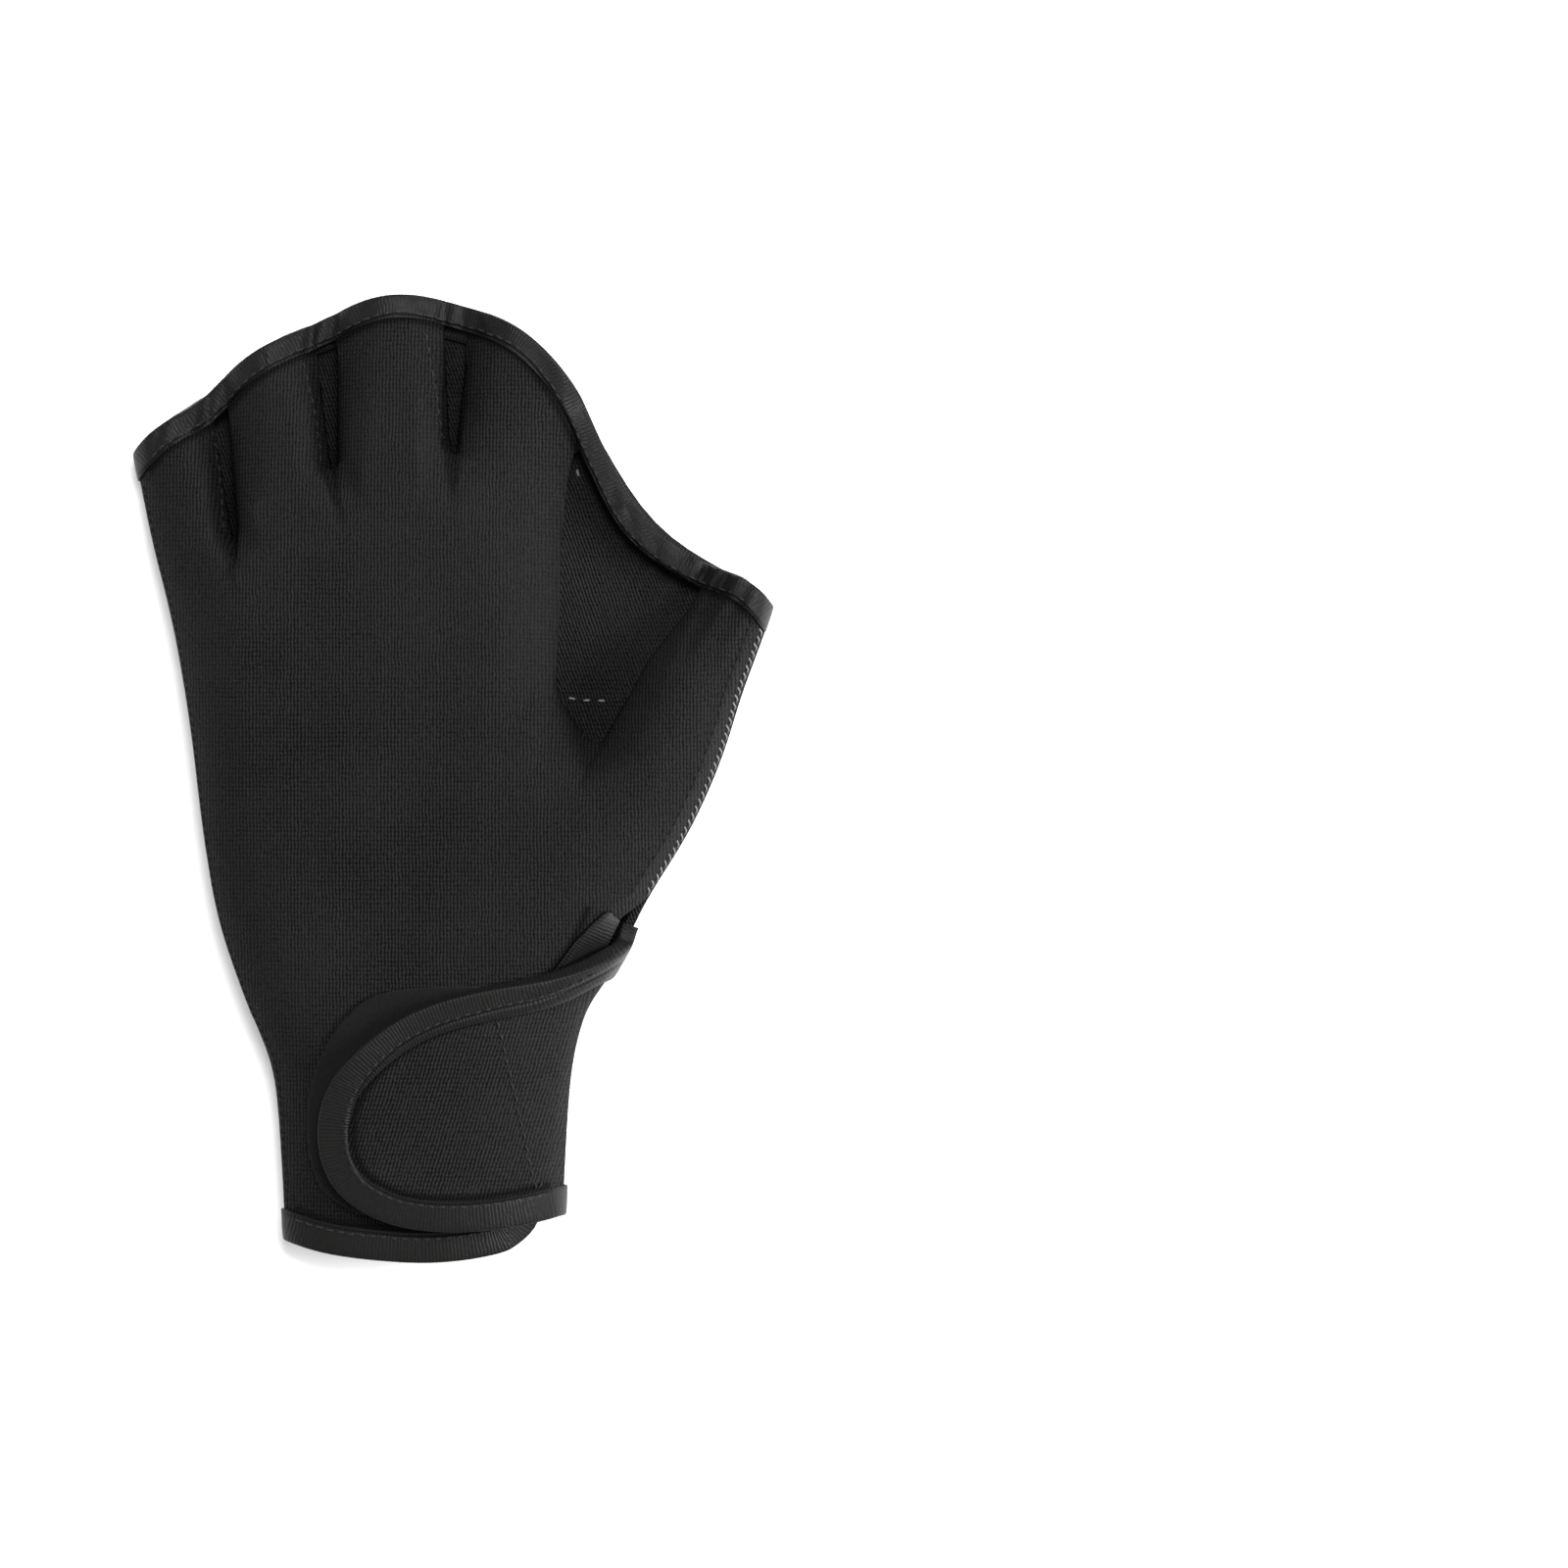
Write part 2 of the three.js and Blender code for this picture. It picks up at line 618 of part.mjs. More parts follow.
function buildBack() {
  const right = (t) => {
    const point = rightSide.getPointAt(Math.min(Math.max(t, 0), 1));
    point.x -= underInset(point.y);
    return point;
  };
  const corner = right(0);
  const hem = outline([[-0.258, -0.473], [-0.078, -0.474], [corner.x / handWidth, corner.y / handLength]]);
  const on = (curve) => (share) => curve.getPointAt(Math.min(Math.max(share, 0), 1));
  const plan = planPatch(on(hem), on(fingerEdge), on(leftSeam), right);
  const hemShare = (s) => lipShare(plan, Math.min(Math.max(s, 0.01), 0.99), 0.002, cuffLip, false);
  const edgeShare = (s) => 1 - lipShare(plan, Math.min(Math.max(s, 0.01), 0.985), 0.998, fingerLip, false);
  const notch = rightSide.getSpacedPoints(400).findIndex((point) => point.y > notchY) / 400;
  const wrist = 0.4 * notch;
  const coarse = (1.25 * stepAlong) / handLength;
  const fine = (0.5 * stepAlong) / handLength;
  const taus = [
    ...fillLevels([0, wrist], coarse), ...fillLevels([wrist, notch], fine).slice(1),
    ...fillLevels([notch, 1], coarse).slice(1),
  ];
  const sides = [0, 0.012, 0.04, 0.075];
  const across = [...sides, 0.2, 0.33, 0.46, 0.59, 0.7, 0.82, ...sides.map((share) => 1 - share).reverse()];
  const points = across.map((s) => {
    const column = taus.map((tau) => plan(s, mix(hemShare(s), edgeShare(s), tau)));
    return [plan(s, 0), ...column, plan(s, 1)];
  });
  const last = across.length - 1;
  const rowCount = taus.length + 1;
  const notchRow = taus.findIndex((tau) => Math.abs(tau - notch) < 1e-9) + 1;
  points.forEach((column, i) => column.forEach((point, j) => {
    const seam = i === 0 || (i === last && j >= notchRow);
    point.z = seam ? seamZ(point.x, point.y) - seamGap / 2 : backZ(point.x, point.y);
  }));
  const skin = makeSkin(points, -1);
  for (let j = 0; j <= rowCount; j++) {
    skin.normals[0][j].setZ(0).normalize();
    const { y } = points[last][j];
    const angle = Math.acos(1 - underInset(y) / backRound);
    skin.normals[last][j] = rightNormal(y).multiplyScalar(Math.cos(angle)).setZ(-Math.sin(angle));
  }
  return { sheet: makeSheet(skin, 0, -sheetThickness), last, rowCount };
}

// The strap lies over the palm, folds round the thumb side and meets the back sheet under the wrist.
// Its bound edge is one smooth line from the fold at the hem, round its end, to the fold at the thumb.
function buildStrap() {
  const foldBottom = -0.447 * handLength;
  const foldTop = -0.167 * handLength;
  const joinTop = notchY - strapDrop;
  const edge = outline([
    [foldX(foldBottom) / handWidth, foldBottom / handLength], [0.072, -0.457], [-0.018, -0.46],
    [-0.093, -0.452], [-0.158, -0.426], [-0.184, -0.396], [-0.191, -0.365], [-0.184, -0.33],
    [-0.165, -0.302], [-0.136, -0.278], [-0.093, -0.252], [-0.033, -0.231], [0.057, -0.213],
    [0.125, -0.203], [0.18, -0.189], [foldX(foldTop) / handWidth, foldTop / handLength],
  ]);
  const corners = { low: 0.34, high: 0.58 };
  const boundAt = (u, depth) => {
    const share = Math.min(Math.max(u, 0), 1);
    const tangent = edge.getTangentAt(share);
    const point = edge.getPointAt(share);
    return point.add(new THREE.Vector3(tangent.y, -tangent.x, 0).multiplyScalar(depth));
  };
  // Towards the fold the top lip turns down along the fold.
  const downFold = new THREE.Vector3(-0.57, -0.82, 0).multiplyScalar(1.15 * cuffLip);
  const lipAt = (u) => boundAt(u, cuffLip).lerp(boundAt(u, 0).add(downFold), ease((u - 0.8) / 0.2));
  const foldY = [lipAt(0).y, lipAt(1).y];
  const fold = (t) => new THREE.Vector3(foldX(mix(...foldY, t)), mix(...foldY, t), 0);
  const uBottom = (s) => mix(corners.low, 0, s);
  const uTop = (s) => mix(corners.high, 1, s);
  const uEnd = (t) => mix(corners.low, corners.high, t);
  const plan = planPatch((s) => lipAt(uBottom(s)), (s) => lipAt(uTop(s)), (t) => lipAt(uEnd(t)), fold);

  const across = [0, 0.13, 0.27, 0.41, 0.55, 0.68, 0.78, 0.86, 0.92, 0.96, 0.985, 1];
  const up = [0, 0.2, 0.4, 0.58, 0.74, 0.87, 1];
  const top = up.length + 1;
  const foldColumn = across.length;
  const grid = [];
  for (let i = 0; i <= foldColumn; i++) {
    const s = i === 0 ? 0 : across[i - 1];
    grid.push([]);
    for (let j = 0; j <= top; j++) {
      const t = up[Math.min(Math.max(j - 1, 0), up.length - 1)];
      let point = plan(s, t);
      if (i === 0) point = boundAt(uEnd(t), 0);
      else if (j === 0) point = boundAt(uBottom(s), 0);
      else if (j === top) point = boundAt(uTop(s), 0);
      point.z = palmZ(point.x, point.y, 1);
      grid[i].push(point);
    }
  }
  // Under the wrist the top edge climbs to the notch, and the bottom is raised for its tape.
  const climb = joinTop - grid[foldColumn][top].y;
  const facing = new Map();
  const under = (start, j, step) => {
    const y = start.y + climb * step * Math.min(j / (top - 1), 1) ** 2;
    const normal = rightNormal(y);
    const reach = Math.acos(1 - underInset(y + foldInset * normal.y) / backRound) - joinGap / backRound;
    const angle = Math.max(reach, 0) * step;
    const raise = 1 - ease((y - foldBottom - cuffLip) / 8);
    const inward = (backRound - foldInset) * (1 - Math.cos(angle));
    const drop = (seamHeight - foldInset - tapeBuild * raise) * Math.sin(angle);
    const point = new THREE.Vector3(foldX(y) - inward, y, seamHeight - drop);
    facing.set(point, normal.multiplyScalar(Math.cos(angle)).setZ(-Math.sin(angle)));
    return point;
  };
  const foldLine = grid.pop();
  for (const step of [0, 0.25, 0.5, 0.75, 1]) grid.push(foldLine.map((start, j) => under(start, j, step)));
  const skin = makeSkin(grid, 1);
  grid.forEach((column, i) => column.forEach((point, j) => {
    if (facing.has(point)) skin.normals[i][j].copy(facing.get(point));
  }));
  // Where three points of the grid meet on the smooth edge they share one normal.
  for (const group of [[[0, 0], [1, 0], [0, 1]], [[0, top], [1, top], [0, top - 1]]]) {
    const sum = new THREE.Vector3();
    for (const [i, j] of group) sum.add(skin.normals[i][j]);
    for (const [i, j] of group) skin.normals[i][j].copy(sum).normalize();
  }
  return { sheet: makeSheet(skin, foldInset, strapLift), last: grid.length - 1, top };
}

// The patch is a rounded sheet on the palm that shows past the strap's end.
function buildPatch() {
  const on = (curve) => (share) => curve.getPointAt(Math.min(Math.max(share, 0), 1));
  const left = outline([[-0.197, -0.424], [-0.214, -0.392], [-0.219, -0.35], [-0.204, -0.295], [-0.167, -0.25]]);
  const top = outline([[-0.167, -0.25], [-0.12, -0.223], [-0.04, -0.214], [0.05, -0.213]]);
  const bottom = outline([[-0.197, -0.424], [-0.14, -0.447], [-0.05, -0.45], [0.05, -0.445]]);
  const right = outline([[0.05, -0.445], [0.05, -0.213]]);
  const plan = planPatch(on(bottom), on(top), on(left), on(right));
  const cells = 8;
  const points = [];
  for (let i = 0; i <= cells; i++) {
    points.push([]);
    for (let j = 0; j <= cells; j++) {
      const point = plan(i / cells, j / cells);
      point.z = palmZ(point.x, point.y, 1);
      points[i].push(point);
    }
  }
  return makeSheet(makeSkin(points, 1), patchSeat + patchThickness, patchSeat);
}

const neoprene = new THREE.MeshStandardMaterial({ color: 0x1e1e1f, roughness: 0.92, metalness: 0 });
const tape = new THREE.MeshStandardMaterial({ color: 0x292929, roughness: 0.62, metalness: 0 });
const fuzz = new THREE.MeshStandardMaterial({ color: 0x141414, roughness: 1, metalness: 0 });

const glove = new THREE.Group();

function addPart(name, geometry, material) {
  const mesh = new THREE.Mesh(geometry, material);
  mesh.name = name;
  glove.add(mesh);
}

const palm = buildPalm();
const back = buildBack();
const strap = buildStrap();
const upTo = (count) => Array.from({ length: count + 1 }, (_, k) => k);

addPart('palm_panel', sheetGeometry(palm.sheet), neoprene);
addPart('back_panel', sheetGeometry(back.sheet), neoprene);
addPart('wrist_strap', sheetGeometry(strap.sheet), neoprene);
addPart('loop_patch', sheetGeometry(buildPatch()), fuzz);

// The finger-edge tape is one loop: along the palm's edge, round the thumb corner and back.
const palmTop = upTo(palm.last).map((i) => [[i, palm.rowCount], [i, palm.rowCount - 1]]);
const backTop = upTo(back.last).map((i) => [[i, back.rowCount], [i, back.rowCount - 1]]).reverse();
const palmEdge = tapeRun(palm.sheet, palmTop);
const backEdge = tapeRun(back.sheet, backTop);
const thumbCorner = averageSection(palmEdge[palmEdge.length - 1], backEdge[0]);
const littleCorner = averageSection(palmEdge[0], backEdge[backEdge.length - 1]);
const fingerLoop = [littleCorner, ...palmEdge.slice(1, -1), thumbCorner, ...backEdge.slice(1, -1)];
addPart('finger_edge_binding', tapeGeometry(fingerLoop, true), tape);

// The cuff tape runs down the free wrist edge, round the corner, along the hem and under the wrist.
const freeEdge = upTo(palm.notchRow - 1).reverse();
const palmCuff = [
  ...freeEdge.map((j) => [[palm.last, j], [palm.last - 1, Math.max(j, 1)]]),
  ...upTo(palm.last - 1).reverse().map((i) => [[i, 0], [i, 1]]),
];
const backCuff = upTo(back.last).map((i) => [[i, 0], [i, 1]]);
const palmHemRun = tapeRun(palm.sheet, palmCuff);
const backHemRun = tapeRun(back.sheet, backCuff);
const hemCorner = averageSection(palmHemRun[palmHemRun.length - 1], backHemRun[0]);
const cuffRun = [...palmHemRun.slice(0, -1), hemCorner, ...backHemRun.slice(1)];
addPart('cuff_binding', tapeGeometry(cuffRun, false), tape);

// The strap tape starts under the wrist, goes round the strap's end and climbs to the notch.
const strapPlaces = [
  ...upTo(strap.last).reverse().slice(0, -1).map((i) => [[i, 0], [i, 1]]),
  ...upTo(strap.top - 1).slice(2, -1).map((j) => [[0, j], [1, j]]),
  ...upTo(strap.last).slice(1).map((i) => [[i, strap.top], [i, strap.top - 1]]),
];
addPart('strap_binding', tapeGeometry(tapeRun(strap.sheet, strapPlaces), false), tape);

export default glove;
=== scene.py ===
import math
import random

import bmesh
import bpy
import numpy as np
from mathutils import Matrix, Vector
from mathutils.bvhtree import BVHTree


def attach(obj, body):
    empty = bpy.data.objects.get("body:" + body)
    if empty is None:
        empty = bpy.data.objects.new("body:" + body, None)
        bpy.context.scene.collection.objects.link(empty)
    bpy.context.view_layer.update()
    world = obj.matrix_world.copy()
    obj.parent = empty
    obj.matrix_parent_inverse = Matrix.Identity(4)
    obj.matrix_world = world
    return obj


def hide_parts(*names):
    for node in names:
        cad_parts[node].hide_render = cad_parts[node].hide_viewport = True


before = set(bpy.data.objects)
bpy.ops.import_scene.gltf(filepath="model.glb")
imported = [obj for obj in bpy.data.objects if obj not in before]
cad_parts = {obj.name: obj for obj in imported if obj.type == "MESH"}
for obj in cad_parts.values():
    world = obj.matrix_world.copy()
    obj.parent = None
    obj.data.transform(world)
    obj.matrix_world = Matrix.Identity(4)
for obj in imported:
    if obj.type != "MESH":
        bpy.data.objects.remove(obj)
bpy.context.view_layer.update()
random.seed(7)
print("frame loaded")

handLength = 0.240
handWidth = 0.162
handShare = np.array([handWidth, handLength])
outlineSteps = 400  # points along each outline
stretchSteps = 24  # points between two rows of an outline
chunk = 4000  # points measured against a line at a time


# Rows of [x, y] shares of the hand's width and length, in metres.
def fromShares(rows):
    return np.array(rows) * handShare


def lengthsAlong(line):
    steps = np.linalg.norm(np.diff(line, axis=0), axis=1)
    return np.concatenate([[0], np.cumsum(steps)])


def spaced(line, count):
    along = lengthsAlong(line)
    at = np.linspace(0, along[-1], count)
    return np.column_stack([np.interp(at, along, line[:, k]) for k in range(line.shape[1])])


# Centripetal curve through rows of shares, as an evenly spaced line in metres.
def outline(rows):
    points = list(fromShares(rows))
    points = [2 * points[0] - points[1]] + points + [2 * points[-1] - points[-2]]
    line = []
    for k in range(1, len(points) - 2):
        p0, p1, p2, p3 = points[k - 1:k + 3]
        t1 = np.linalg.norm(p1 - p0) ** 0.5
        t2 = t1 + np.linalg.norm(p2 - p1) ** 0.5
        t3 = t2 + np.linalg.norm(p3 - p2) ** 0.5
        for t in np.linspace(t1, t2, stretchSteps, endpoint=False):
            a1 = (t1 - t) / t1 * p0 + t / t1 * p1
            a2 = (t2 - t) / (t2 - t1) * p1 + (t - t1) / (t2 - t1) * p2
            a3 = (t3 - t) / (t3 - t2) * p2 + (t - t2) / (t3 - t2) * p3
            b1 = (t2 - t) / t2 * a1 + t / t2 * a2
            b2 = (t3 - t) / (t3 - t1) * a2 + (t - t1) / (t3 - t1) * a3
            line.append((t2 - t) / (t2 - t1) * b1 + (t - t1) / (t2 - t1) * b2)
    line.append(points[-2])
    return spaced(np.array(line), outlineSteps)


# A line moved sideways, to its right for a positive depth.
def beside(line, depth):
    tangent = np.gradient(line, axis=0)
    tangent /= np.linalg.norm(tangent, axis=1)[:, None]
    return line + depth * np.column_stack([tangent[:, 1], -tangent[:, 0]])


outlines = {
    "fingerEdge": outline([
        [-0.49, 0.331], [-0.451, 0.357], [-0.399, 0.38], [-0.316, 0.429], [-0.204, 0.469], [-0.093, 0.495],
        [0.027, 0.482], [0.116, 0.454], [0.181, 0.403], [0.231, 0.332], [0.284, 0.266], [0.355, 0.228],
        [0.452, 0.199], [0.488, 0.173],
    ]),
    "leftSeam": outline([
        [-0.258, -0.473], [-0.266, -0.374], [-0.278, -0.296], [-0.316, -0.235], [-0.36, -0.147],
        [-0.384, -0.056], [-0.404, 0.054], [-0.431, 0.16], [-0.461, 0.241], [-0.49, 0.331],
    ]),
    "thumbSeam": outline([
        [0.291, -0.132], [0.36, -0.056], [0.41, 0.019], [0.443, 0.09], [0.466, 0.131], [0.488, 0.173],
    ]),
    "hem": outline([
        [-0.258, -0.473], [-0.197, -0.484], [-0.122, -0.491], [-0.033, -0.494], [0.042, -0.489],
        [0.084, -0.482], [0.112, -0.465], [0.127, -0.43], [0.137, -0.369], [0.147, -0.288],
        [0.171, -0.234], [0.223, -0.183], [0.253, -0.14],
    ]),
    "strapEdge": outline([
        [0.16, -0.447], [0.072, -0.457], [-0.018, -0.46], [-0.093, -0.452], [-0.158, -0.426],
        [-0.184, -0.396], [-0.191, -0.365], [-0.184, -0.33], [-0.165, -0.302], [-0.136, -0.278],
        [-0.093, -0.252], [-0.033, -0.231], [0.057, -0.213], [0.125, -0.203], [0.18, -0.189],
        [0.245, -0.164], [0.262, -0.148],
    ]),
}
tapeReach = {"fingerEdge": 0.0057, "hem": 0.0073, "strapEdge": 0.0073}  # how far in each tape goes

# Folds that cross the cloth: centre in shares, direction they run in degrees, pitch, reach and height in m.
folds = [
    {"at": [0.335, 0.225], "turn": 62, "pitch": 0.0056, "reach": 0.017, "height": 0.0027},
    {"at": [-0.40, 0.36], "turn": 80, "pitch": 0.0048, "reach": 0.009, "height": 0.0009},
    {"at": [-0.205, 0.455], "turn": 75, "pitch": 0.0045, "reach": 0.008, "height": 0.0009},
    {"at": [0.0, 0.48], "turn": 85, "pitch": 0.0045, "reach": 0.007, "height": 0.0007},
    {"at": [0.15, -0.06], "turn": 40, "pitch": 0.030, "reach": 0.030, "height": 0.0006},
    {"at": [-0.13, 0.05], "turn": 80, "pitch": 0.034, "reach": 0.045, "height": 0.0006},
    {"at": [-0.15, -0.2], "turn": 20, "pitch": 0.026, "reach": 0.025, "height": 0.0007},
]
foldsFrom = 0.012  # folds fade in over this height above the floor


def foldLift(xy):
    lift = np.zeros(len(xy))
    for row in folds:
        offset = xy - fromShares(row["at"])
        turn = math.radians(row["turn"])
        across = offset[:, 0] * math.sin(turn) - offset[:, 1] * math.cos(turn)
        fade = np.exp(-(offset ** 2).sum(axis=1) / row["reach"] ** 2)
        lift += row["height"] * fade * np.cos(2 * math.pi * across / row["pitch"])
    return lift


def nearest(line, points):
    best = np.full(len(points), np.inf)
    place = np.zeros(len(points), int)
    for start in range(0, len(points), chunk):
        part = points[start:start + chunk]
        gap = np.linalg.norm(part[:, None, :] - line[None, :, :], axis=2)
        place[start:start + chunk] = gap.argmin(axis=1)
        best[start:start + chunk] = gap.min(axis=1)
    return best, place


def readPoints(mesh):
    flat = np.empty(len(mesh.vertices) * 3)
    mesh.vertices.foreach_get("co", flat)
    return flat.reshape(-1, 3)


def writeValues(mesh, label, values):
    layer = mesh.attributes.new(label, "FLOAT", "POINT")
    layer.data.foreach_set("value", values.astype(np.float32))


rounding = {
    "weld": 2e-6,  # corners nearer than this are one
    "faceAngle": 0.6,  # triangles that meet flatter than this become one quad
    "shapeAngle": 3.1,
}


# A rounded and finely divided copy of a CAD piece, which it replaces.
def softPiece(name, look):
    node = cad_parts[look["node"]]
    bm = bmesh.new()
    bm.from_mesh(node.data)
    bmesh.ops.transform(bm, matrix=node.matrix_world, verts=bm.verts)
    bmesh.ops.remove_doubles(bm, verts=bm.verts, dist=rounding["weld"])
    bmesh.ops.join_triangles(
        bm, faces=bm.faces,
        angle_face_threshold=rounding["faceAngle"], angle_shape_threshold=rounding["shapeAngle"],
    )
    creases = bm.edges.layers.float.new("crease_edge")
    for edge in bm.edges:
        if len(edge.link_faces) == 2 and edge.calc_face_angle(0) > math.radians(look["sharp"]):
            edge[creases] = look["crease"]
    rough = bpy.data.meshes.new(name + "_rough")
    bm.to_mesh(rough)
    bm.free()
    obj = bpy.data.objects.new(name, rough)
    bpy.context.scene.collection.objects.link(obj)
    divide = obj.modifiers.new("divide", "SUBSURF")
    divide.levels = look["levels"]
    divide.render_levels = look["levels"]
    shown = obj.evaluated_get(bpy.context.evaluated_depsgraph_get())
    mesh = bpy.data.meshes.new_from_object(shown)
    obj.modifiers.clear()
    obj.data = mesh
    mesh.name = name
    points = readPoints(mesh)
    rise = np.clip(points[:, 2] / foldsFrom, 0, 1)
    points[:, 2] += foldLift(points[:, :2]) * rise
    mesh.vertices.foreach_set("co", points.ravel())
    mesh.shade_smooth()
    mesh.update()
    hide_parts(look["node"])
    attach(obj, "root")
    return obj


# Where each point of a tape lies: the length along its edge, and the distance in from it.
def addAlong(obj, line):
    points = readPoints(obj.data)
    along = lengthsAlong(line)
    gap, place = nearest(line, points[:, :2])
    writeValues(obj.data, "along", along[place])
    writeValues(obj.data, "depth", gap)


# How far each point lies past the inner edge of the tapes sewn over the piece, which sets where the painted
# shade along the tapes falls.
def addBeyond(obj, keys):
    farAway = 1.0
    points = readPoints(obj.data)[:, :2]
    least = np.full(len(points), farAway)
    for key in keys:
        gap, place = nearest(outlines[key], points)
        gap = gap - tapeReach[key]
        gap[(place == 0) | (place == outlineSteps - 1)] = farAway
        least = np.where(np.abs(gap) < np.abs(least), gap, least)
    writeValues(obj.data, "beyondTape", least)


# A socket takes a number as its value, and another socket as a link.
def feed(tree, value, socket):
    if isinstance(value, (int, float)):
        socket.default_value = value
    else:
        tree.links.new(value, socket)


def calc(tree, operation, a, b=None):
    node = tree.nodes.new("ShaderNodeMath")
    node.operation = operation
    feed(tree, a, node.inputs[0])
    if b is not None:
        feed(tree, b, node.inputs[1])
    return node.outputs[0]


# The sum of each value times its weight.
def weighted(tree, rows):
    total = None
    for value, weight in rows:
        part = value if weight == 1 else calc(tree, "MULTIPLY", value, weight)
        total = part if total is None else calc(tree, "ADD", total, part)
    return total


def ownPlace(tree):
    return tree.nodes.new("ShaderNodeTexCoord").outputs["Object"]


def noise(tree, scale, detail):
    node = tree.nodes.new("ShaderNodeTexNoise")
    feed(tree, scale, node.inputs["Scale"])
    feed(tree, detail, node.inputs["Detail"])
    tree.links.new(ownPlace(tree), node.inputs["Vector"])
    return node.outputs[0]


def pointValue(tree, label):
    node = tree.nodes.new("ShaderNodeAttribute")
    node.attribute_name = label
    return node.outputs["Fac"]


def newGroup(name, inputs, outputs):
    group = bpy.data.node_groups.new(name, "ShaderNodeTree")
    for label, value in inputs.items():
        socket = group.interface.new_socket(label, in_out="INPUT", socket_type="NodeSocketFloat")
        socket.default_value = value
    for label in outputs:
        group.interface.new_socket(label, in_out="OUTPUT", socket_type="NodeSocketFloat")
    return group, group.nodes.new("NodeGroupInput").outputs, group.nodes.new("NodeGroupOutput").inputs


def useGroup(tree, group, values):
    node = tree.nodes.new("ShaderNodeGroup")
    node.node_tree = group
    for label, value in values.items():
        feed(tree, value, node.inputs[label])
    return node.outputs


# Knitted jersey: ribs along the hand, broken into loops, and slow patches of wear; its tone is also darker
# where the knit is low, painted shade in the grooves between ribs and loops.
def knitGroup():
    inputs = {"rib": 0.00085, "loop": 0.0011, "slant": 0.0}
    group, source, result = newGroup("knit", inputs, ["height", "tone"])
    split = group.nodes.new("ShaderNodeSeparateXYZ")
    group.links.new(ownPlace(group), split.inputs[0])
    x = split.outputs[0]
    y = split.outputs[1]
    wobble = noise(group, 260, 3)
    shift = calc(group, "MULTIPLY", calc(group, "SUBTRACT", wobble, 0.5), 0.0009)
    slanted = calc(group, "ADD", x, calc(group, "MULTIPLY", y, source["slant"]))
    across = calc(group, "DIVIDE", calc(group, "ADD", slanted, shift), source["rib"])
    down = calc(group, "DIVIDE", calc(group, "ADD", y, shift), source["loop"])
    ribs = calc(group, "ABSOLUTE", calc(group, "SINE", calc(group, "MULTIPLY", across, math.pi)))
    loops = calc(group, "ABSOLUTE", calc(group, "SINE", calc(group, "MULTIPLY", down, math.pi)))
    broken = calc(group, "MULTIPLY", ribs, calc(group, "ADD", calc(group, "MULTIPLY", loops, 0.5), 0.5))
    height = weighted(group, [(broken, 1), (noise(group, 1500, 4), 1.3)])
    # The tone follows the knit's height, painted shade in the grooves between ribs and loops, plus slow
    # patches of wear.
    tone = weighted(group, [(height, 0.45), (noise(group, 22, 5), 0.5)])
    group.links.new(height, result["height"])
    group.links.new(tone, result["tone"])
    return group


# Woven tape: fine cross ribs, a groove inside the lip with painted shade along it, and an uneven grain.
def weaveGroup():
    ribPitch = 0.0009
    grooveWidth = 0.0006
    inputs = {"along": 0.0, "depth": 0.0, "groove": 0.006}
    group, source, result = newGroup("weave", inputs, ["height", "tone"])
    grain = noise(group, 900, 3)
    wave = calc(group, "SINE", calc(group, "MULTIPLY", source["along"], 2 * math.pi / ribPitch))
    line = calc(group, "ABSOLUTE", calc(group, "SUBTRACT", source["depth"], source["groove"]))
    dip = calc(group, "MINIMUM", calc(group, "MULTIPLY", line, 1 / grooveWidth), 1.0)
    group.links.new(weighted(group, [(wave, 0.22), (dip, 1.6), (grain, 0.6)]), result["height"])
    # The tone is darker along the groove: painted shade in the groove.
    group.links.new(weighted(group, [(dip, 0.55), (grain, 0.45)]), result["tone"])
    return group


# Fine fibre grain of thread and pile.
def grainGroup():
    group, source, result = newGroup("grain", {"scale": 1400}, ["tone"])
    group.links.new(noise(group, source["scale"], 2), result["tone"])
    return group


knit = knitGroup()
weave = weaveGroup()
grain = grainGroup()


def startMaterial(name, look):
    material = bpy.data.materials.new(name)
    material.use_nodes = True
    shader = material.node_tree.nodes["Principled BSDF"]
    shader.inputs["Roughness"].default_value = look["roughness"]
    shader.inputs["Sheen Weight"].default_value = look["sheen"]
    shader.inputs["Sheen Roughness"].default_value = 0.5
    shader.inputs["Specular IOR Level"].default_value = 0.07
    return material, material.node_tree, shader


def bumpFrom(tree, shader, height, distance, strength):
    bump = tree.nodes.new("ShaderNodeBump")
    bump.inputs["Distance"].default_value = distance
    bump.inputs["Strength"].default_value = strength
    tree.links.new(height, bump.inputs["Height"])
    tree.links.new(bump.outputs[0], shader.inputs["Normal"])


def blendColour(tree, shader, factor, dark, light):
    mixNode = tree.nodes.new("ShaderNodeMix")
    mixNode.data_type = "RGBA"
    mixNode.inputs["A"].default_value = (*dark, 1)
    mixNode.inputs["B"].default_value = (*light, 1)
    tree.links.new(factor, mixNode.inputs["Factor"])
    tree.links.new(mixNode.outputs["Result"], shader.inputs["Base Color"])


black = (0.0, 0.0, 0.0)
jerseyLook = {
    "roughness": 0.85, "sheen": 0.008, "bump": 0.0007,
    "middle": 0.53, "contrast": 3.0,  # the tone that stays black, and how fast it lightens past it
    "fade": 600, "least": 0.1,  # how fast the painted shade along a tape gives way to the knit's tone, and the knit's share left at the tape
}
